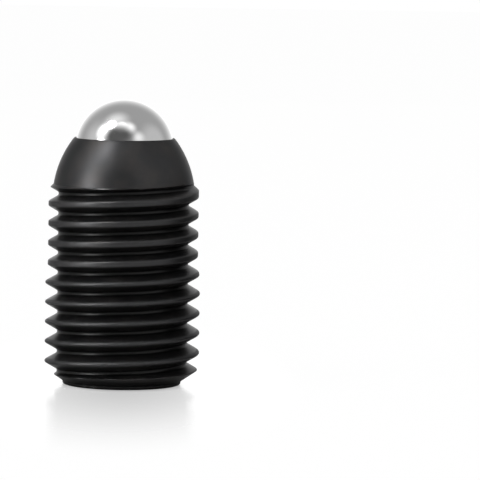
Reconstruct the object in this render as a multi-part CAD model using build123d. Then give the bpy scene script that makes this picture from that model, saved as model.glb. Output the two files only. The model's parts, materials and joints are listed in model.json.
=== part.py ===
"""Ball spring plunger, M16 x 2, with an internal hexagon: a turned housing, a compression spring and a ball.

Millimetres. The axis is Z, and +Z points out of the nose, towards the ball. The origin is the middle of the
socket end face, on which the plunger stands.
"""

import os
from math import asin, degrees, pi, radians, sin, sqrt, tan

from build123d import *

# Housing, outside
housing_length = 25.0  # socket end face to rim
thread_major = 15.7  # crests of the M16 x 2 thread, inside its tolerance
end_rim_height = 0.35  # straight edge of the end face, below its chamfer
end_chamfer_width = 1.85  # radial, from the crests in to the straight edge
end_chamfer_angle = 56.0  # from the axis
shoulder_width = 0.73  # radial, from the crests in to the foot of the nose
shoulder_angle = 45.0
nose_height = 4.7  # foot of the nose to the rim
nose_arc_radius = 10.2
rim_land = 0.15  # flat that is left on top of the rolled rim
rim_edge = 0.12  # the rim's outer edge, broken at 45 degrees

# Ball and the bore that it runs in
ball_diameter = 10.0
ball_proud = 3.88  # how far the ball stands out of the rim at rest
ball_clearance = 0.05  # all round the ball, in the bore and under the rolled lip
bore_corner = 0.2  # chamfer in the corner of the floor, narrower than coil_clearance

# Spring
wire_diameter = 1.2
wire_sides = 8  # the round wire is drawn with this many flats, which keeps the coil light
coil_clearance = 0.25  # radial, between the coils and the bore
active_coils = 3.5
closed_coils = 1.0  # at each end
closed_gap = 0.05  # between the turns of a closed end
tip_thickness = 0.3  # of the wire, left at each ground tip
end_gap = 0.1  # between each end of the spring and what it bears on

# Hexagon socket
hexagon_flats = 8.0
hexagon_depth = 6.0
pilot_diameter = 7.9  # hole that the hexagon is broached in
drill_point_angle = 118.0
end_land = 0.325  # flat ring left on the end face, round the countersink
countersink_angle = 120.0
web_thickness = 1.5  # solid between the drill point and the bore's floor

crest_radius = thread_major / 2
end_face_radius = crest_radius - end_chamfer_width
ball_radius = ball_diameter / 2
ball_centre = housing_length + ball_proud - ball_radius
bore_radius = ball_radius + ball_clearance
drill_tip = hexagon_depth + pilot_diameter / 2 / tan(radians(drill_point_angle / 2))
bore_floor = drill_tip + web_thickness


def turned(edges):
    """The solid that a closed half section, drawn as (radius, height), makes as it goes round Z."""
    return revolve(Plane.XZ * Face(Wire(edges)), Axis.Z, 360)


def blank():
    """The bar as turned outside: end chamfer, shank, shoulder, and the nose rolled in to its rim."""
    chamfer_height = end_chamfer_width / tan(radians(end_chamfer_angle))
    nose_foot = housing_length - nose_height
    shoulder_drop = shoulder_width / tan(radians(shoulder_angle))
    rim_inside = sqrt(bore_radius**2 - (housing_length - ball_centre) ** 2)
    rim_outside = rim_inside + rim_land
    outline = Polyline(
        (rim_outside + rim_edge, housing_length - rim_edge),
        (rim_outside, housing_length),
        (0, housing_length),
        (0, 0),
        (end_face_radius, 0),
        (end_face_radius, end_rim_height),
        (crest_radius, end_rim_height + chamfer_height),
        (crest_radius, nose_foot - shoulder_drop),
        (crest_radius - shoulder_width, nose_foot),
    )
    nose = RadiusArc(outline @ 0, outline @ 1, nose_arc_radius)
    return turned([*outline.edges(), nose])


def bore():
    """The hole from the nose: a flat floor, the ball's way, and the seat under the lip that closes it."""
    lip_angle = degrees(asin((housing_length - ball_centre) / bore_radius))
    seat = CenterArc((0, ball_centre), bore_radius, 0, lip_angle)
    way = Polyline(
        seat @ 1,
        (0, housing_length),
        (0, bore_floor),
        (bore_radius - bore_corner, bore_floor),
        (bore_radius, bore_floor + bore_corner),
        seat @ 0,
    )
    return turned([*way.edges(), seat])


def socket():
    """The hexagon broached in a drilled hole, with the drill's point beyond it and a countersunk mouth."""
    hexagon = extrude(RegularPolygon(hexagon_flats / 2, 6, major_radius=False), hexagon_depth)
    drilled = Polyline(
        (0, 0),
        (pilot_diameter / 2, 0),
        (pilot_diameter / 2, hexagon_depth),
        (0, drill_tip),
        close=True,
    )
    mouth_radius = end_face_radius - end_land
    mouth = Polyline(
        (0, 0),
        (mouth_radius, 0),
        (0, mouth_radius / tan(radians(countersink_angle / 2))),
        close=True,
    )
    return hexagon + turned(drilled.edges()) + turned(mouth.edges())


def housing():
    """The one turned piece. Its thread is cut in the shank, from the end chamfer up to the shoulder."""
    return blank() - bore() - socket()


def compression_spring():
    """Right-hand, closed and ground at both ends. The ball sits inside the edge of its top coil."""
    wire_radius = wire_diameter / 2
    coil_radius = bore_radius - coil_clearance - wire_radius
    bottom = bore_floor + end_gap
    top = ball_centre - sqrt(ball_radius**2 - (coil_radius - wire_radius) ** 2) - end_gap
    ground_off = wire_radius - tip_thickness  # the wire's centre passes each ground face by this much
    start = bottom - ground_off
    closed_rise = closed_coils * (wire_diameter + closed_gap)
    active_rise = top - bottom + 2 * ground_off - 2 * closed_rise

    def coils(turns, rise, turns_before, height):
        helix = Helix(rise / turns, rise, coil_radius, center=(0, 0, height))
        return Rot(0, 0, 360 * turns_before) * helix

    centre_line = Wire(
        [
            coils(closed_coils, closed_rise, 0, start),
            coils(active_coils, active_rise, closed_coils, start + closed_rise),
            coils(closed_coils, closed_rise, closed_coils + active_coils, start + closed_rise + active_rise),
        ]
    )
    side_reach = wire_radius * sqrt(2 * pi / wire_sides / sin(2 * pi / wire_sides))
    section = RegularPolygon(side_reach, wire_sides, rotation=180 / wire_sides)
    wire = Plane(centre_line @ 0, z_dir=centre_line % 0) * section
    ground = Cylinder(bore_radius, top - bottom, align=(Align.CENTER, Align.CENTER, Align.MIN))
    return sweep(wire, centre_line, is_frenet=True) & Pos(0, 0, bottom) * ground


def ball():
    return Pos(0, 0, ball_centre) * Sphere(ball_radius)


os.makedirs("parts", exist_ok=True)
export_step(housing(), "parts/housing.step")
export_step(compression_spring(), "parts/spring.step")
export_step(ball(), "parts/ball.step")
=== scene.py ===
import json
import math

import bmesh
import bpy
from mathutils import Matrix, Vector


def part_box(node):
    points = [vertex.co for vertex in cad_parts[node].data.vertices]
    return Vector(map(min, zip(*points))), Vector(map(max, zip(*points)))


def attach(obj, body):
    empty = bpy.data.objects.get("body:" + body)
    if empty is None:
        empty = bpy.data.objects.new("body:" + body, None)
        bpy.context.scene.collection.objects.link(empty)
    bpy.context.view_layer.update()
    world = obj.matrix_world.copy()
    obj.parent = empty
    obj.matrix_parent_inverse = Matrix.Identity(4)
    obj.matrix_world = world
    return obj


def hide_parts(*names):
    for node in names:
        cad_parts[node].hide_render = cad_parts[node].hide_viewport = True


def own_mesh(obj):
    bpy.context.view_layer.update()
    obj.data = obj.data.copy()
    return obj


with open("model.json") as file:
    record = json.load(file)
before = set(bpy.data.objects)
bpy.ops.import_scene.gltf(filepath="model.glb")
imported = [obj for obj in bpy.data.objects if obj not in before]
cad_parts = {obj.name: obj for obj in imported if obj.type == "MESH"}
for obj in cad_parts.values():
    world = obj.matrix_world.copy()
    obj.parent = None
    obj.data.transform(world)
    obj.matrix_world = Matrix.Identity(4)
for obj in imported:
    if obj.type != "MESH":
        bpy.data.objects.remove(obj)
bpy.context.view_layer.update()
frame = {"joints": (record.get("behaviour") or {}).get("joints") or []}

# ----------------------------------------------------------------------------------------------------------
# Housing. One steel bar, turned outside and bored for the spring and the ball, with the thread cut on its
# shank and a hexagon broached in the end that it is screwed in by. It is blackened in a hot oxide bath and
# oiled, and the nose is rolled in over the ball last.

scene = bpy.context.scene
MM = 0.001
touching = 0.001 * MM  # points this near each other are one


class Nodes:
    """A node tree. add() makes any node: its settings first, then a value or a wire for each socket."""

    def __init__(self, tree):
        self.tree = tree

    def add(self, kind, settings=None, inputs=None, output=0):
        node = self.tree.nodes.new(kind)
        for name, setting in (settings or {}).items():
            setattr(node, name, setting)
        for name, value in (inputs or {}).items():
            if isinstance(value, Wire):
                value.into(node.inputs[name])
            else:
                node.inputs[name].default_value = value
        return Wire(self, node.outputs[output]) if len(node.outputs) else node

    def math(self, operation, *values):
        return self.add("ShaderNodeMath", {"operation": operation}, dict(enumerate(values)))


class Wire:
    """An output of a node. Sums written on it add Math nodes, and wire["Y"] is another output of its node."""

    def __init__(self, nodes, socket):
        self.nodes = nodes
        self.socket = socket

    def __getitem__(self, name):
        return Wire(self.nodes, self.socket.node.outputs[name])

    def into(self, socket):
        self.nodes.tree.links.new(self.socket, socket)

    def __add__(self, other):
        return self.nodes.math("ADD", self, other)

    def __radd__(self, other):
        return self.nodes.math("ADD", other, self)

    def __sub__(self, other):
        return self.nodes.math("SUBTRACT", self, other)

    def __rsub__(self, other):
        return self.nodes.math("SUBTRACT", other, self)

    def __mul__(self, other):
        return self.nodes.math("MULTIPLY", self, other)

    def __rmul__(self, other):
        return self.nodes.math("MULTIPLY", other, self)

    def __truediv__(self, other):
        return self.nodes.math("DIVIDE", self, other)

    def __abs__(self):
        return self.nodes.math("ABSOLUTE", self)

    def __lt__(self, other):
        return self.nodes.math("LESS_THAN", self, other)

    def __gt__(self, other):
        return self.nodes.math("GREATER_THAN", self, other)


def geometry_tree(name, sizes):
    """A new geometry node tree with these named inputs, the wires from them, and its nodes."""
    tree = bpy.data.node_groups.new(name, "GeometryNodeTree")
    for label, value in sizes.items():
        kind = "NodeSocketInt" if isinstance(value, int) else "NodeSocketFloat"
        tree.interface.new_socket(name=label, in_out="INPUT", socket_type=kind)
    tree.interface.new_socket(name="Mesh", in_out="OUTPUT", socket_type="NodeSocketGeometry")
    nodes = Nodes(tree)
    return nodes, nodes.add("NodeGroupInput")


def close_tree(nodes, mesh, material):
    """Ends a tree as a plain mesh of one material."""
    mesh = nodes.add("GeometryNodeRealizeInstances", None, {"Geometry": mesh})
    mesh = nodes.add("GeometryNodeSetMaterial", None, {"Geometry": mesh, "Material": material})
    nodes.add("NodeGroupOutput", None, {"Mesh": mesh})


def grow(name, nodes, sizes):
    """The object whose plain mesh the tree makes from its named sizes."""
    piece = bpy.data.objects.new(name, bpy.data.meshes.new(name))
    scene.collection.objects.link(piece)
    maker = piece.modifiers.new(name, "NODES")
    maker.node_group = nodes.tree
    for item in nodes.tree.interface.items_tree:
        if item.in_out == "INPUT":
            maker[item.identifier] = sizes[item.name]
    evaluated = piece.evaluated_get(bpy.context.evaluated_depsgraph_get())
    piece.data = bpy.data.meshes.new_from_object(evaluated)
    piece.modifiers.remove(maker)
    return piece


def finish_mesh(piece, sharp_angle=math.radians(35.0)):
    """Merges what meets, turns the faces outwards, and leaves creases only at true edges."""
    mesh = bmesh.new()
    mesh.from_mesh(piece.data)
    bmesh.ops.remove_doubles(mesh, verts=mesh.verts, dist=touching)
    bmesh.ops.recalc_face_normals(mesh, faces=mesh.faces)
    for face in mesh.faces:
        face.smooth = True
    for edge in mesh.edges:
        edge.smooth = edge.calc_face_angle(0.0) < sharp_angle
    mesh.to_mesh(piece.data)
    mesh.free()


def new_material(name):
    material = bpy.data.materials.new(name)
    material.use_nodes = True
    return material, Nodes(material.node_tree)


def surface(name, base_color, metallic, roughness):
    """A material whose shader takes these values, with its nodes and the shader to wire the rest to."""
    material, nodes = new_material(name)
    shader = material.node_tree.nodes["Principled BSDF"]
    shader.inputs["Base Color"].default_value = (*base_color, 1.0)
    shader.inputs["Metallic"].default_value = metallic
    shader.inputs["Roughness"].default_value = roughness
    return material, nodes, shader


def noise(nodes, place, scale, detail, roughness=0.5):
    inputs = {"Vector": place, "Scale": scale, "Detail": detail, "Roughness": roughness}
    return nodes.add("ShaderNodeTexNoise", None, inputs, "Fac")


def from_to(nodes, value, low, high, new_low=0.0, new_high=1.0):
    """value carried from one range to another, level beyond its ends."""
    inputs = {"Value": value, "From Min": low, "From Max": high, "To Min": new_low, "To Max": new_high}
    return nodes.add("ShaderNodeMapRange", {"interpolation_type": "SMOOTHSTEP"}, inputs)


def blend_colors(nodes, factor, first, second):
    inputs = {0: factor, 6: first, 7: second}
    return nodes.add("ShaderNodeMix", {"data_type": "RGBA"}, inputs, 2)


def black_oxide(name, gloss_roughness, spread):
    """Satin black on steel: brown where the oxide is thin, greyer on rubbed crests, with painted shade
    darkening the thread's roots.
    """
    material, nodes, shader = surface(name, (0.036, 0.036, 0.037), 0.88, gloss_roughness)
    shader.inputs["Specular Tint"].default_value = (0.5, 0.5, 0.5, 1.0)
    shader.inputs["Specular IOR Level"].default_value = 0.25
    shader.inputs["Anisotropic"].default_value = spread  # turning marks spread a highlight along the axis
    shader.inputs["Anisotropic Rotation"].default_value = 0.25

    place = nodes.add("ShaderNodeTexCoord", None, None, "Object")
    split = nodes.add("ShaderNodeSeparateXYZ", None, {"Vector": place})
    across = nodes.add("ShaderNodeCombineXYZ", None, {"X": split["X"], "Y": split["Y"]})
    radius = nodes.add("ShaderNodeVectorMath", {"operation": "LENGTH"}, {0: across}, "Value")
    blotches = noise(nodes, place, 420.0, 4.0)  # patches some 2 mm wide
    grain = noise(nodes, place, 9000.0, 2.0)  # etched grain, 0.1 mm
    rubbed = from_to(nodes, radius, crest_radius - 0.35 * MM, crest_radius - 0.2 * MM)
    rubbed = rubbed * from_to(nodes, blotches, 0.2, 0.6, 0.7, 1.0)
    root_radius = crest_radius - groove_depth
    # painted shade: the base colour is darkened in the thread's roots, below the nose
    painted_root_shade = from_to(nodes, radius, root_radius + 0.1 * MM, root_radius + 0.3 * MM, 1.0, 0.0)
    painted_root_shade = painted_root_shade * (split["Z"] < length - nose_height)
    thin = from_to(nodes, blotches, 0.35, 0.75)
    oxide = blend_colors(nodes, thin, (0.031, 0.031, 0.032, 1.0), (0.041, 0.039, 0.038, 1.0))
    oxide = blend_colors(nodes, rubbed, oxide, (0.040, 0.040, 0.041, 1.0))
    # the roots' painted shade, a darker base colour
    oxide = blend_colors(nodes, painted_root_shade, oxide, (0.017, 0.017, 0.017, 1.0))
    oxide.into(shader.inputs["Base Color"])
    mottled = 0.2 * (blotches - 0.5) + 0.06 * (grain - 0.5)
    roughness = gloss_roughness + mottled + 0.14 * rubbed
    roughness.into(shader.inputs["Roughness"])

    turning = 30000.0  # tool marks, 0.03 mm apart, that run round the axis
    lathe_place = nodes.add("ShaderNodeCombineXYZ", None, {
        "X": radius * turning,
        "Y": split["Z"] * turning,
        "Z": 0.02 * nodes.math("ARCTAN2", split["Y"], split["X"]),
    })
    relief = 0.5 * noise(nodes, lathe_place, 1.0, 2.0) + 0.5 * grain
    bump = nodes.add("ShaderNodeBump", None, {"Strength": 0.08, "Distance": 0.01 * MM, "Height": relief})
    bump.into(shader.inputs["Normal"])
    return material


low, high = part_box("housing")
length = high.z - low.z
crest_radius = high.x
pitch = 2.0 * MM
flank_angle = math.radians(30.0)  # of each flank of the thread from the square
groove_depth = crest_radius - 6.6 * MM
root_rounding = 0.27 * MM  # radius of the thread's root
crest_rounding = 0.28 * MM
crest_relief = 0.24 * MM  # taken off the crests of the upper turns, behind the nose
relief_height = 12.5 * MM  # above the end face, where the full crests end
edge_rounding = 0.04 * MM  # left on every turned edge by tumbling
end_rounding = 0.25 * MM  # of the first, part-formed crest on the end chamfer
crest_height = 1.29 * MM  # of the first crest above the end face, on the +X side
run_out_height = 20.9 * MM  # where the last groove has come up to the surface, behind
run_out_length = 0.45  # turns that it takes
end_face_radius = crest_radius - 1.85 * MM
end_rim_height = 0.35 * MM  # straight edge of the end face, below its chamfer
foot_rounding = 0.2 * MM  # of the end face's edge, which the plunger stands on
end_chamfer_slope = math.tan(math.radians(56.0))
nose_height = 4.7 * MM
nose_foot_radius = crest_radius - 0.73 * MM
nose_arc_radius = 10.2 * MM
ball_radius = (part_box("ball")[1].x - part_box("ball")[0].x) / 2
ball_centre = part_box("ball")[1].z - ball_radius
bore_radius = ball_radius + 0.05 * MM
rim_inside = math.sqrt(bore_radius**2 - (length - ball_centre) ** 2)
rim_radius = rim_inside + 0.15 * MM
rim_edge = 0.12 * MM  # broken at 45 degrees
columns = 144  # round the housing, a multiple of the hexagon's six sides
rows = 32  # in each pitch


def nose_arc_centre():
    """(radius, height) of the centre that the nose's outline is struck from."""
    foot = Vector((nose_foot_radius, length - nose_height))
    rim = Vector((rim_radius + rim_edge, length - rim_edge))
    chord = rim - foot
    inward = Vector((-chord.y, chord.x)).normalized()
    reach = math.sqrt(nose_arc_radius**2 - (chord.length / 2) ** 2)
    return (foot + rim) / 2 + inward * reach


arc_centre = nose_arc_centre()
housing_sizes = {
    "Length": length,
    "Pitch": pitch,
    "Crest Radius": crest_radius,
    "Root Radius": crest_radius - groove_depth,
    "Root Rounding": root_rounding,
    "Crest Rounding": crest_rounding,
    "Crest Relief": crest_relief,
    "Relief Height": relief_height,
    "Edge Rounding": edge_rounding,
    "End Rounding": end_rounding,
    "Crest Height": crest_height,
    "Run-out Height": run_out_height,
    "Run-out Turns": run_out_length,
    "End Face Radius": end_face_radius,
    "End Rim Height": end_rim_height,
    "End Chamfer Slope": end_chamfer_slope,
    "Foot Rounding": foot_rounding,
    "Nose Foot Radius": nose_foot_radius,
    "Nose Foot Height": length - nose_height,
    "Nose Arc Radius": nose_arc_radius,
    "Nose Arc Centre Radius": arc_centre.x,
    "Nose Arc Centre Height": arc_centre.y,
    "Rim Radius": rim_radius,
    "Rim Edge": rim_edge,
    "Columns": columns,
    "Rows in a Pitch": rows,
}


def threaded_outside(material):
    """The outside: a net whose rows climb with the thread, out to the blank or the groove, the smaller."""
    nodes, size = geometry_tree("threaded outside", housing_sizes)
    turns = nodes.math("CEIL", size["Length"] / size["Pitch"]) + 2  # one beyond each end
    net = nodes.add("GeometryNodeMeshGrid", None, {
        "Size X": 1.0,
        "Size Y": 1.0,
        "Vertices X": size["Columns"] + 1,
        "Vertices Y": size["Rows in a Pitch"] * turns + 1,
    }, "Mesh")
    place = nodes.add("ShaderNodeSeparateXYZ", None, {"Vector": nodes.add("GeometryNodeInputPosition")})
    around = place["X"] + 0.5
    climbed = (place["Y"] + 0.5) * turns
    bottom = size["Crest Height"] - 2.5 * size["Pitch"]  # grooves are at whole turns, crests halfway
    height = bottom + (climbed + around) * size["Pitch"]
    height = nodes.math("MINIMUM", nodes.math("MAXIMUM", height, 0.0), size["Length"])
    half_row = 0.5 * size["Pitch"] / size["Rows in a Pitch"]
    for edge in (size["Nose Foot Height"], size["Length"] - size["Rim Edge"]):
        height = height + (edge - height) * (abs(edge - height) < half_row)

    groove = nodes.math("ROUND", climbed)
    offset = abs(climbed - groove) * size["Pitch"]
    rounding = size["Root Rounding"]
    flank = size["Root Radius"] - rounding + offset * (1 / math.tan(flank_angle))
    fillet = nodes.math("SQRT", nodes.math("MAXIMUM", rounding * rounding - offset * offset, 0.0))
    fillet = size["Root Radius"] + rounding - fillet
    cut = flank + (fillet - flank) * (offset < rounding * math.cos(flank_angle))
    groove_height = bottom + (groove + around) * size["Pitch"]
    fading_from = size["Run-out Height"] - size["Run-out Turns"] * size["Pitch"]
    faded = from_to(nodes, groove_height, fading_from, size["Run-out Height"])
    cut = cut + faded * 1.5 * (size["Crest Radius"] - size["Root Radius"])  # lifts the groove clear
    relieved = from_to(nodes, height, size["Relief Height"] - size["Pitch"], size["Relief Height"])
    crest = size["Crest Radius"] - size["Crest Relief"] * relieved
    thread = nodes.math("SMOOTH_MIN", cut, crest, size["Crest Rounding"])

    above_rim = nodes.math("MAXIMUM", height - size["End Rim Height"], 0.0)
    rounding = size["Foot Rounding"]
    below = nodes.math("MAXIMUM", rounding - height, 0.0)
    foot = size["End Face Radius"] - rounding + nodes.math("SQRT", rounding * rounding - below * below)
    chamfer = foot + above_rim * size["End Chamfer Slope"]
    shoulder = size["Nose Foot Radius"] + size["Nose Foot Height"] - height
    above_centre = height - size["Nose Arc Centre Height"]
    nose = nodes.math("SQRT", size["Nose Arc Radius"] * size["Nose Arc Radius"] - above_centre * above_centre)
    nose = nose + size["Nose Arc Centre Radius"]
    rim = size["Rim Radius"] + size["Length"] - height
    blank = nodes.math("MINIMUM", nodes.math("MAXIMUM", shoulder, nose), rim)
    radius = nodes.math("SMOOTH_MIN", thread, blank, size["Edge Rounding"])
    radius = nodes.math("SMOOTH_MIN", radius, chamfer, size["End Rounding"])

    angle = around * math.tau
    placed = nodes.add("ShaderNodeCombineXYZ", None, {
        "X": radius * nodes.math("COSINE", angle),
        "Y": radius * nodes.math("SINE", angle),
        "Z": height,
    })
    skin = nodes.add("GeometryNodeSetPosition", None, {"Geometry": net, "Position": placed})
    skin = nodes.add("GeometryNodeMergeByDistance", None, {"Geometry": skin, "Distance": touching})
    close_tree(nodes, skin, material)
    return nodes


def add_rings(mesh, rings):
    """Skins the rings one after another. A ring gives its radius and height at each angle round the axis."""
    made = []
    for ring in rings:
        points = []
        for column in range(columns):
            angle = math.tau * column / columns
            radius, height = ring(angle)
            points.append(mesh.verts.new((radius * math.cos(angle), radius * math.sin(angle), height)))
        made.append(points)
    for below, above in zip(made, made[1:]):
        for column in range(columns):
            after = (column + 1) % columns
            mesh.faces.new((below[column], below[after], above[after], above[column]))
    return made[-1]


def add_point(mesh, ring, height):
    """Closes a ring to a point on the axis."""
    point = mesh.verts.new((0.0, 0.0, height))
    for column in range(columns):
        mesh.faces.new((ring[column], ring[(column + 1) % columns], point))


def circle(radius, height):
    return lambda angle: (radius, height)


def bore_rings(floor):
    """From the rim, round the seat under the lip, and down the ball's way to the floor and its corner."""
    corner = 0.2 * MM
    lip_angle = math.asin((length - ball_centre) / bore_radius)
    steps = 8  # along the seat
    rings = [circle(rim_radius, length)]
    for step in range(steps, -1, -1):
        angle = lip_angle * step / steps
        rings.append(circle(bore_radius * math.cos(angle), ball_centre + bore_radius * math.sin(angle)))
    rings.append(circle(bore_radius, floor + corner))
    rings.append(circle(bore_radius - corner, floor))
    rings.append(circle(bore_radius / 2, floor))
    return rings


hexagon_depth = 6.0 * MM
hexagon_half = 4.0 * MM  # half of the 8 mm across its flats
pilot_radius = 3.95 * MM  # the hole drilled before the hexagon is broached
drill_half_angle = math.radians(59.0)
drill_tip = hexagon_depth + pilot_radius / math.tan(drill_half_angle)
bore_floor = drill_tip + 1.5 * MM
mouth_radius = end_face_radius - 0.325 * MM
mouth_half_angle = math.radians(60.0)  # of the countersink


def hexagon_radius(angle):
    """From the axis to the hexagon's wall. Two of its corners are on the X axis."""
    side = math.radians(60.0)
    return hexagon_half / math.cos(angle % side - side / 2)


def hexagon_mouth(angle):
    """Where the countersink meets the hexagon's wall."""
    radius = hexagon_radius(angle)
    return radius, (mouth_radius - radius) / math.tan(mouth_half_angle)


def socket_rings():
    """From the end face, in over the countersink, down the hexagon and on into the drilled point."""
    return [
        circle(end_face_radius - foot_rounding, 0.0),
        circle(mouth_radius, 0.0),
        hexagon_mouth,
        lambda angle: (hexagon_radius(angle), hexagon_depth),
        circle(pilot_radius, hexagon_depth),
        circle(pilot_radius / 2, (hexagon_depth + drill_tip) / 2),
    ]


def make_housing():
    """The thread is satin. The nose is turned, which leaves it duller and drags its highlights out."""
    finishes = [black_oxide("black_oxide", 0.33, 0.0), black_oxide("black_oxide_turned", 0.43, 0.4)]
    housing = grow("turned_housing", threaded_outside(finishes[0]), housing_sizes)
    mesh = bmesh.new()
    mesh.from_mesh(housing.data)
    add_point(mesh, add_rings(mesh, bore_rings(bore_floor)), bore_floor)
    add_point(mesh, add_rings(mesh, socket_rings()), drill_tip)
    mesh.to_mesh(housing.data)
    mesh.free()
    finish_mesh(housing)
    housing.data.materials.clear()
    for finish in finishes:
        housing.data.materials.append(finish)
    for face in housing.data.polygons:
        face.material_index = int(face.center.z > length - nose_height)
    return housing


housing = make_housing()
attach(housing, "housing")
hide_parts("housing")

# ----------------------------------------------------------------------------------------------------------
# Spring. Music wire, coiled cold, with a closed turn at each end ground flat, so that it stands square on the
# bore's floor and the ball sits in the top turn. It is always pressed a little between the two.

spring_low, spring_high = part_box("spring")
wire_radius = 0.6 * MM
spring_sizes = {
    "Bottom": spring_low.z,
    "Top": spring_high.z,
    "Coil Radius": spring_high.x - wire_radius,
    "Wire Radius": wire_radius,
    "Closed Turns": 1.0,
    "Active Turns": 3.5,
    "Closed Gap": 0.05 * MM,
    "Tip Thickness": 0.3 * MM,
    "Points in a Turn": 72,
    "Points round the Wire": 24,
}


def spring_wire():
    """Drawn wire: bright steel gone slightly straw-coloured in stress relieving, under a film of oil."""
    material, nodes, shader = surface("spring_wire", (0.36, 0.35, 0.33), 1.0, 0.3)
    place = nodes.add("ShaderNodeTexCoord", None, None, "Object")
    tint = noise(nodes, place, 500.0, 3.0)
    drawn = noise(nodes, place, 8000.0, 2.0)
    straw = from_to(nodes, tint, 0.35, 0.7)
    steel = blend_colors(nodes, straw, (0.38, 0.375, 0.365, 1.0), (0.31, 0.29, 0.26, 1.0))
    steel.into(shader.inputs["Base Color"])
    roughness = 0.28 + 0.14 * (drawn - 0.5)
    roughness.into(shader.inputs["Roughness"])
    bump = nodes.add("ShaderNodeBump", None, {"Strength": 0.06, "Distance": 0.01 * MM, "Height": drawn})
    bump.into(shader.inputs["Normal"])
    return material


def coil(material):
    """A wire along a helix that climbs slowly in its closed turns, cut flat at both ends."""
    nodes, size = geometry_tree("ground spring", spring_sizes)
    turns = 2 * size["Closed Turns"] + size["Active Turns"]
    count = nodes.math("ROUND", turns * size["Points in a Turn"]) + 1
    line = nodes.add("GeometryNodeCurvePrimitiveLine")
    line = nodes.add("GeometryNodeResampleCurve", None, {"Curve": line, "Count": count})
    turn = nodes.add("GeometryNodeSplineParameter", None, None, "Factor") * turns

    ground_off = size["Wire Radius"] - size["Tip Thickness"]
    closed_rise = 2 * size["Wire Radius"] + size["Closed Gap"]
    whole_rise = size["Top"] - size["Bottom"] + 2 * ground_off
    active_rise = (whole_rise - 2 * closed_rise * size["Closed Turns"]) / size["Active Turns"]
    lower = nodes.math("MINIMUM", turn, size["Closed Turns"])
    upper = nodes.math("MAXIMUM", turn - size["Closed Turns"] - size["Active Turns"], 0.0)
    height = closed_rise * (lower + upper) + active_rise * (turn - lower - upper)
    angle = turn * math.tau
    placed = nodes.add("ShaderNodeCombineXYZ", None, {
        "X": size["Coil Radius"] * nodes.math("COSINE", angle),
        "Y": size["Coil Radius"] * nodes.math("SINE", angle),
        "Z": size["Bottom"] - ground_off + height,
    })
    helix = nodes.add("GeometryNodeSetPosition", None, {"Geometry": line, "Position": placed})
    round_wire = nodes.add("GeometryNodeCurvePrimitiveCircle", None, {
        "Resolution": size["Points round the Wire"], "Radius": size["Wire Radius"]})
    wire = nodes.add("GeometryNodeCurveToMesh", None, {
        "Curve": helix, "Profile Curve": round_wire, "Fill Caps": True})

    tall = size["Top"] - size["Bottom"]
    broad = 4 * size["Coil Radius"]
    extent = nodes.add("ShaderNodeCombineXYZ", None, {"X": broad, "Y": broad, "Z": tall})
    slab = nodes.add("GeometryNodeMeshCube", None, {"Size": extent})
    middle = nodes.add("ShaderNodeCombineXYZ", None, {"Z": size["Bottom"] + tall / 2})
    slab = nodes.add("GeometryNodeTransform", None, {"Geometry": slab, "Translation": middle})
    ground = nodes.add("GeometryNodeMeshBoolean", {"operation": "INTERSECT", "solver": "EXACT"})
    for solid in (wire, slab):
        solid.into(ground.socket.node.inputs["Mesh 2"])
    close_tree(nodes, ground, material)
    return nodes


spring = grow("compression_spring", coil(spring_wire()), spring_sizes)
finish_mesh(spring)
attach(spring, "housing")
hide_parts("spring")
ball_slide = next(joint for joint in frame["joints"] if joint["name"] == "ball_slide")
travel = ball_slide["range_m"][1]
spring_length = spring_high.z - spring_low.z
1 - travel / spring_length
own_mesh(spring)

# ----------------------------------------------------------------------------------------------------------
# Ball. A hardened bearing ball, ground and lapped, bright and unplated. The lip of the nose holds it in, and
# it is free to roll on the spring as the part that it latches slides over it.


def polished_steel():
    """Bearing steel with a lapped shine and the fine hairlines of use."""
    material, nodes, shader = surface("polished_steel", (0.43, 0.43, 0.43), 1.0, 0.08)
    place = nodes.add("ShaderNodeTexCoord", None, None, "Object")
    cloud = noise(nodes, place, 300.0, 3.0)
    stretched = nodes.add("ShaderNodeMapping", None, {"Vector": place, "Scale": (400.0, 5000.0, 5000.0)})
    hairs = from_to(nodes, noise(nodes, stretched, 1.0, 2.0), 0.6, 0.75)
    steel = blend_colors(nodes, cloud, (0.41, 0.41, 0.41, 1.0), (0.45, 0.45, 0.45, 1.0))
    steel.into(shader.inputs["Base Color"])
    roughness = 0.06 + 0.05 * cloud + 0.04 * hairs
    roughness.into(shader.inputs["Roughness"])
    return material


def make_object(name, mesh, material):
    """The object that a bmesh ends as."""
    thing = bpy.data.objects.new(name, bpy.data.meshes.new(name))
    mesh.to_mesh(thing.data)
    mesh.free()
    scene.collection.objects.link(thing)
    thing.data.materials.append(material)
    return thing


def make_ball():
    """Six square nets swelled to a sphere, so that no poles gather under the highlights."""
    squares = 48  # along each side of a net
    mesh = bmesh.new()
    bmesh.ops.create_cube(mesh, size=2.0)
    bmesh.ops.subdivide_edges(mesh, edges=mesh.edges, cuts=squares - 1, use_grid_fill=True)
    centre = Vector((0.0, 0.0, ball_centre))
    for point in mesh.verts:
        even = Vector([math.tan(side * math.pi / 4) for side in point.co])
        point.co = centre + even.normalized() * ball_radius
    ball = make_object("steel_ball", mesh, polished_steel())
    finish_mesh(ball)
    return ball


ball = make_ball()
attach(ball, "ball")
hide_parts("ball")

# ----------------------------------------------------------------------------------------------------------
# Floor and surroundings: a broad white table, slightly glossy, that runs out into a white room. The plunger's
# shadow and a faint mirror image of its front lie on it.

floor_width = 3.0


def seen_rays(nodes):
    """1 on what the camera sees directly, in a mirror or through glass, for the white of the background."""
    rays = nodes.add("ShaderNodeLightPath")
    mirrored = nodes.math("MAXIMUM", rays["Is Glossy Ray"], rays["Is Transmission Ray"])
    return rays["Is Camera Ray"], mirrored


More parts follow.
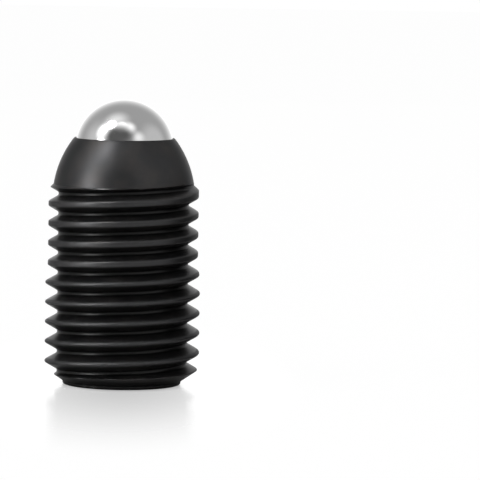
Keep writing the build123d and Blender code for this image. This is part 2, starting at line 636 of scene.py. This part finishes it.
def white_room():
    world = bpy.data.worlds.new("white_room")
    scene.world = world
    world.use_nodes = True
    nodes = Nodes(world.node_tree)
    looked_at, mirrored = seen_rays(nodes)
    background = world.node_tree.nodes["Background"]
    background.inputs["Color"].default_value = (1.0, 1.0, 1.0, 1.0)
    strength = 0.6 + 0.4 * nodes.math("MAXIMUM", looked_at, mirrored)
    strength.into(background.inputs["Strength"])


def show(nodes, shading):
    """Makes this the surface of the nodes' material."""
    shading.into(nodes.tree.nodes["Material Output"].inputs["Surface"])


def white_table():
    """White laminate: it takes the shadow, mirrors the front faintly, and is plain white farther off."""
    material, nodes, shader = surface("white_table", (0.95, 0.95, 0.95), 0.0, 0.6)
    laminate = Wire(nodes, shader.outputs["BSDF"])
    place = nodes.add("ShaderNodeTexCoord", None, None, "Object")
    reach = nodes.add("ShaderNodeVectorMath", {"operation": "LENGTH"}, {0: place}, "Value")
    looked_at, mirrored = seen_rays(nodes)
    white = nodes.add("ShaderNodeEmission", None, {"Color": (1.0, 1.0, 1.0, 1.0), "Strength": 1.0})
    # Shares of plain white: less close under the plunger, where its shadow and its mirror image are.
    shade = looked_at * from_to(nodes, reach, 5.8 * MM, 8.0 * MM, 0.7, 0.96)
    shade = shade + mirrored * from_to(nodes, reach, 12.0 * MM, 90.0 * MM)
    lit = nodes.add("ShaderNodeMixShader", None, {0: shade, 1: laminate, 2: white})
    polish = nodes.add("ShaderNodeBsdfGlossy", None, {"Color": (1.0, 1.0, 1.0, 1.0), "Roughness": 0.16})
    narrowed = nodes.add("ShaderNodeVectorMath", {"operation": "MULTIPLY"}, {0: place, 1: (3.0, 1.0, 1.0)})
    narrow_reach = nodes.add("ShaderNodeVectorMath", {"operation": "LENGTH"}, {0: narrowed}, "Value")
    gloss = looked_at * from_to(nodes, narrow_reach, 0.0, 58.0 * MM, 0.42, 0.0)
    show(nodes, nodes.add("ShaderNodeMixShader", None, {0: gloss, 1: lit, 2: polish}))
    return material


def make_floor():
    mesh = bmesh.new()
    bmesh.ops.create_grid(mesh, x_segments=8, y_segments=8, size=floor_width / 2)
    return make_object("floor", mesh, white_table())


white_room()
make_floor()

# ----------------------------------------------------------------------------------------------------------
# Lamps: a broad soft lamp over each shoulder of the camera, which no mirror shows. What the ball and the nose
# mirror is a white cloth tent, lit from behind in places, with the dark gap that the camera looks in through,
# and a dark plunger like this one lying close on the right.


def direction(azimuth, elevation):
    """Unit vector towards a place seen from the plunger, azimuth from the camera's side towards +X."""
    turn = math.radians(azimuth)
    lift = math.radians(elevation)
    return Vector((math.sin(turn) * math.cos(lift), -math.cos(turn) * math.cos(lift), math.sin(lift)))


plunger_middle = Vector((0.0, 0.0, length / 2))
tent_radius = 0.6


def soft_lamp(name, azimuth, elevation, width, radiance):
    """A square area lamp, as far off as the tent, which lights without showing in mirrors."""
    lamp = bpy.data.lights.new(name, "AREA")
    lamp.size = width
    lamp.energy = radiance * math.pi * width**2
    box = bpy.data.objects.new(name, lamp)
    scene.collection.objects.link(box)
    away = direction(azimuth, elevation)
    box.location = plunger_middle + away * tent_radius
    box.rotation_euler = away.to_track_quat("Z", "Y").to_euler()
    box.visible_camera = False
    box.visible_glossy = False


def show_to_mirrors(thing):
    thing.visible_camera = False
    thing.visible_diffuse = False
    thing.visible_shadow = False


def spot_on_cloth(nodes, seen_from_middle, azimuth, elevation, core, rim):
    """1 within core degrees of a direction, fading to 0 at rim degrees from it."""
    towards = {0: seen_from_middle, 1: tuple(direction(azimuth, elevation))}
    nearness = nodes.add("ShaderNodeVectorMath", {"operation": "DOT_PRODUCT"}, towards, "Value")
    apart = nodes.math("ARCCOSINE", nearness)
    return from_to(nodes, apart, math.radians(core), math.radians(rim), 1.0, 0.0)


def tent_cloth():
    """White cloth with brighter and darker spots, each laid over those before it."""
    material, nodes = new_material("tent_cloth")
    place = nodes.add("ShaderNodeTexCoord", None, None, "Object")
    place = nodes.add("ShaderNodeVectorMath", {"operation": "SUBTRACT"}, {0: place, 1: tuple(plunger_middle)})
    place = nodes.add("ShaderNodeVectorMath", {"operation": "NORMALIZE"}, {0: place})
    glow = 0.75
    for azimuth, elevation, core, rim, radiance in (
        (180.0, -2.0, 14.0, 65.0, 1.5),  # back wall
        (79.0, 16.0, 17.0, 42.0, 1.1),  # right wall
        (-82.0, 24.0, 0.0, 40.0, 1.2),  # left wall
        (-48.0, 68.0, 0.0, 33.0, 1.9),  # roof
        (-11.0, 54.0, 11.0, 18.0, 3.5),  # over the camera
        (16.0, 54.0, 0.0, 20.0, 3.1),
        (38.0, 29.0, 0.0, 21.0, 2.0),  # right of the camera
        (-55.0, 38.0, 0.0, 27.0, 6.0),  # round the lamps on the left
        (-51.0, 56.0, 0.0, 12.0, 70.0),  # lamps behind the cloth on the left, from the high one down
        (-62.0, 42.0, 0.0, 12.0, 17.0),
        (-57.0, 12.0, 5.0, 15.0, 27.0),
        (-25.0, 33.0, 8.0, 45.0, 0.2),  # gap that the camera looks in through
        (-1.0, 37.0, 2.0, 31.0, 0.2),
    ):
        spot = spot_on_cloth(nodes, place, azimuth, elevation, core, rim)
        glow = glow + (radiance - glow) * spot
    show(nodes, nodes.add("ShaderNodeEmission", None, {"Color": glow, "Strength": 1.0}))
    return material


def make_tent():
    mesh = bmesh.new()
    bmesh.ops.create_icosphere(mesh, subdivisions=4, radius=tent_radius)
    bmesh.ops.reverse_faces(mesh, faces=mesh.faces)
    return make_object("tent", mesh, tent_cloth())


def make_clear_sheet():
    """Lies on the table unseen. The neighbour's side knows by it what is mirrored in the table."""
    half_width = 0.2
    above_table = 0.01 * MM
    material, nodes = new_material("clear_sheet")
    show(nodes, nodes.add("ShaderNodeBsdfTransparent"))
    mesh = bmesh.new()
    bmesh.ops.create_grid(mesh, x_segments=1, y_segments=1, size=half_width)
    mesh.transform(Matrix.Translation((0.0, 0.0, above_table)))
    return make_object("clear_sheet", mesh, material)


def dark_side():
    """Dull black, except in the table's mirror image, whose rays have come through the clear sheet."""
    material, nodes, shader = surface("dark_neighbour", (0.02, 0.02, 0.02), 0.0, 0.8)
    dark = Wire(nodes, shader.outputs["BSDF"])
    through_sheet = nodes.add("ShaderNodeLightPath")["Transparent Depth"] > 0.5
    clear = nodes.add("ShaderNodeBsdfTransparent")
    show(nodes, nodes.add("ShaderNodeMixShader", None, {0: through_sheet, 1: dark, 2: clear}))
    return material


def make_neighbour():
    """The side that the other plunger turns to this one."""
    width, height = 18.0 * MM, 22.0 * MM
    place = Vector((21.0 * MM, 0.0, 11.5 * MM))
    mesh = bmesh.new()
    bmesh.ops.create_grid(mesh, x_segments=1, y_segments=1, size=0.5)
    mesh.transform(Matrix.Diagonal((width, height, 1.0, 1.0)))
    mesh.transform(Matrix.Rotation(math.radians(90.0), 4, "X"))
    mesh.transform(Matrix.Rotation(math.radians(90.0), 4, "Z"))
    mesh.transform(Matrix.Translation(place))
    return make_object("neighbour", mesh, dark_side())


soft_lamp("left_lamp", -50.0, 45.0, 0.4, 2.4)
soft_lamp("right_lamp", 50.0, 50.0, 0.4, 1.2)
show_to_mirrors(make_tent())
show_to_mirrors(make_neighbour())
show_to_mirrors(make_clear_sheet())

# ----------------------------------------------------------------------------------------------------------
# Camera: a long lens, a little above the plunger and turned a little about its own axis. The plunger stands
# in the left part of the view.

camera_distance = 0.42
camera_elevation = 4.66  # degrees
camera_roll = 0.88  # degrees
view_width = 48.65 * MM  # at the plunger
aim = Vector((11.83 * MM, 0.0, 14.82 * MM))
lens = bpy.data.cameras.new("camera")
lens.sensor_width = 36.0
lens.lens = lens.sensor_width * camera_distance / view_width
camera = bpy.data.objects.new("camera", lens)
scene.collection.objects.link(camera)
backwards = direction(0.0, camera_elevation)
camera.location = aim + backwards * camera_distance
upright = backwards.to_track_quat("Z", "Y").to_matrix().to_4x4()
camera.rotation_euler = (upright @ Matrix.Rotation(math.radians(camera_roll), 4, "Z")).to_euler()
scene.camera = camera
scene.view_settings.view_transform = "Standard"
